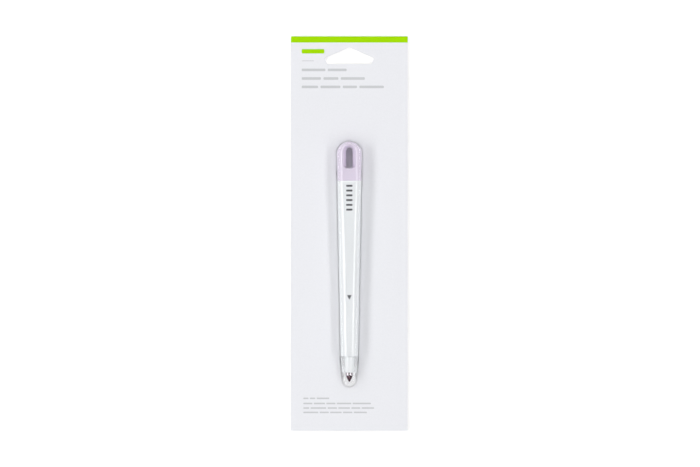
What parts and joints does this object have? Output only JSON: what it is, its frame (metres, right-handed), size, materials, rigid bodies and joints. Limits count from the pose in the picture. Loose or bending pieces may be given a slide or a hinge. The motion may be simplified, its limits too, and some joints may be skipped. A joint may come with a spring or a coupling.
{
  "type": "carded scoring stylus",
  "caption": "Fold-over hang card with a clear trapped blister holding a flat-bodied paper-scoring stylus; the front panel opens on its top crease and frees the stylus.",
  "frame": {"origin": "centre of the card's back face, which lies on the surface", "axes": "+X across the card to the right, +Y up the card to its crease and hang hole, +Z out of the card's face through the blister"},
  "size_m": [0.064, 0.216, 0.01],
  "materials": {
    "card_board": "satin",
    "seal_coat": "matte",
    "card_green": "satin",
    "clear_sheet": "gloss",
    "lavender_plastic": "satin",
    "white_plastic": "gloss",
    "collar_plating": "polished",
    "tip_steel": "polished"
  },
  "bodies": {
    "back_panel": {"back_card": "card_board", "seal_layer": "seal_coat", "top_crease": "card_green"},
    "front_panel": {"front_card": "card_board", "blister": "clear_sheet"},
    "stylus": {"end_cap": "lavender_plastic", "barrel": "white_plastic", "nose_cone": "white_plastic", "tip_collar": "collar_plating", "scoring_tip": "tip_steel"}
  },
  "joints": [
    {"name": "pack_opening", "type": "hinge", "parent": "back_panel", "child": "front_panel", "pos_m": [0, 0.10745, 0.00055], "axis": [-1, 0, 0], "range_deg": [0, 170], "deforming": ["top_crease"]},
    {"name": "stylus_lift", "type": "slide", "parent": "back_panel", "child": "stylus", "axis": [0, 0, 1], "range_m": [0, 0.03]}
  ],
  "couplings": [
    {"joint": "stylus_lift", "follows": "pack_opening", "m_per_rad": 0.01}
  ]
}
